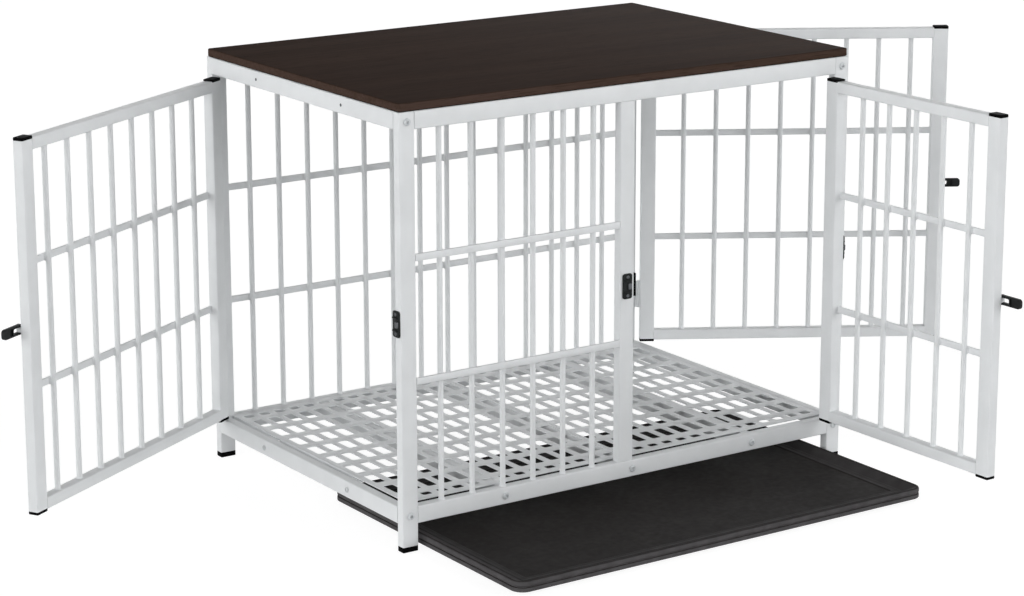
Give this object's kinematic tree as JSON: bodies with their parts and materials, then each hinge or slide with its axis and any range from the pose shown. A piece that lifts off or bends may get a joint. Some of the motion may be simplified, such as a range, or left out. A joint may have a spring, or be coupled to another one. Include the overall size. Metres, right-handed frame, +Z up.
{
  "type": "dog crate end table",
  "caption": "Steel-tube dog crate that serves as an end table, with a wood-look top, barred doors on both ends and the front, a slotted floor and a slide-out tray.",
  "frame": {"origin": "middle of the footprint on the floor, with the doors and tray open as stored", "axes": "+X to the right along the crate's long side, +Y from the front with the doorway to the back, +Z up"},
  "size_m": [1.7114, 0.9324, 0.63],
  "materials": {
    "white_steel": "satin powder coat",
    "dark_wood": "dark wood-grain laminate, satin",
    "black_plastic": "moulded, satin",
    "tray_plastic": "fine-grained moulding",
    "latch_plastic": "moulded, satin"
  },
  "bodies": {
    "frame": {"back_grille": "white_steel", "bottom_rail_back": "white_steel", "bottom_rail_front": "white_steel", "bottom_rail_left": "white_steel", "bottom_rail_right": "white_steel", "floor_bracket_back_left": "white_steel", "floor_bracket_back_right": "white_steel", "floor_bracket_front_left": "white_steel", "floor_bracket_front_right": "white_steel", "floor_cross_member_left": "white_steel", "floor_cross_member_middle": "white_steel", "floor_cross_member_right": "white_steel", "floor_panel_left": "white_steel", "floor_panel_right": "white_steel", "foot_back_left": "black_plastic", "foot_back_right": "black_plastic", "foot_front_left": "black_plastic", "foot_front_right": "black_plastic", "front_bumper": "latch_plastic", "front_grille": "white_steel", "front_hinge_high": "white_steel", "front_hinge_low": "white_steel", "front_keeper": "latch_plastic", "left_hinge_high": "white_steel", "left_hinge_low": "white_steel", "left_keeper": "latch_plastic", "post_back_left": "white_steel", "post_back_right": "white_steel", "post_front_left": "white_steel", "post_front_right": "white_steel", "post_middle": "white_steel", "right_hinge_high": "white_steel", "right_hinge_low": "white_steel", "right_keeper": "latch_plastic", "tabletop": "dark_wood", "tabletop_cleat_left": "white_steel", "tabletop_cleat_right": "white_steel", "top_rail_back": "white_steel", "top_rail_front": "white_steel", "top_rail_left": "white_steel", "top_rail_right": "white_steel"},
    "left_door": {"left_door": "white_steel", "left_door_cap_free_bottom": "black_plastic", "left_door_cap_free_top": "black_plastic", "left_door_cap_hinge_bottom": "black_plastic", "left_door_cap_hinge_top": "black_plastic"},
    "left_latch": {"left_door_latch": "latch_plastic"},
    "right_door": {"right_door": "white_steel", "right_door_cap_free_bottom": "black_plastic", "right_door_cap_free_top": "black_plastic", "right_door_cap_hinge_bottom": "black_plastic", "right_door_cap_hinge_top": "black_plastic"},
    "right_latch": {"right_door_latch": "latch_plastic"},
    "front_door": {"front_door": "white_steel", "front_door_cap_free_bottom": "black_plastic", "front_door_cap_free_top": "black_plastic", "front_door_cap_hinge_bottom": "black_plastic", "front_door_cap_hinge_top": "black_plastic"},
    "front_latch": {"front_door_latch": "latch_plastic"},
    "tray": {"tray": "tray_plastic"}
  },
  "joints": [
    {"name": "left_door_hinge", "type": "hinge", "parent": "frame", "child": "left_door", "pos_m": [-0.39246, 0.4497, 0.319], "axis": [0, 0, -1], "range_deg": [-59.9, 115.1]},
    {"name": "left_latch_pivot", "type": "hinge", "parent": "left_door", "child": "left_latch", "pos_m": [-0.82301, 0.20243, 0.326], "axis": [0, 0, -1], "range_deg": [0, 170]},
    {"name": "right_door_hinge", "type": "hinge", "parent": "frame", "child": "right_door", "pos_m": [0.39854, 0.4497, 0.319], "axis": [0, 0, 1], "range_deg": [-58.6, 116.4]},
    {"name": "right_latch_pivot", "type": "hinge", "parent": "right_door", "child": "right_latch", "pos_m": [0.82337, 0.19273, 0.326], "axis": [0, 0, 1], "range_deg": [0, 170]},
    {"name": "front_door_hinge", "type": "hinge", "parent": "frame", "child": "front_door", "pos_m": [0.36754, -0.0763, 0.319], "axis": [0, 0, 1], "range_deg": [-91.4, 83.6]},
    {"name": "front_latch_pivot", "type": "hinge", "parent": "front_door", "child": "front_latch", "pos_m": [0.37819, -0.43014, 0.326], "axis": [0, 0, 1], "range_deg": [0, 170]},
    {"name": "tray_slide", "type": "slide", "parent": "frame", "child": "tray", "axis": [0, -1, 0], "range_m": [-0.232, 0.24]}
  ]
}
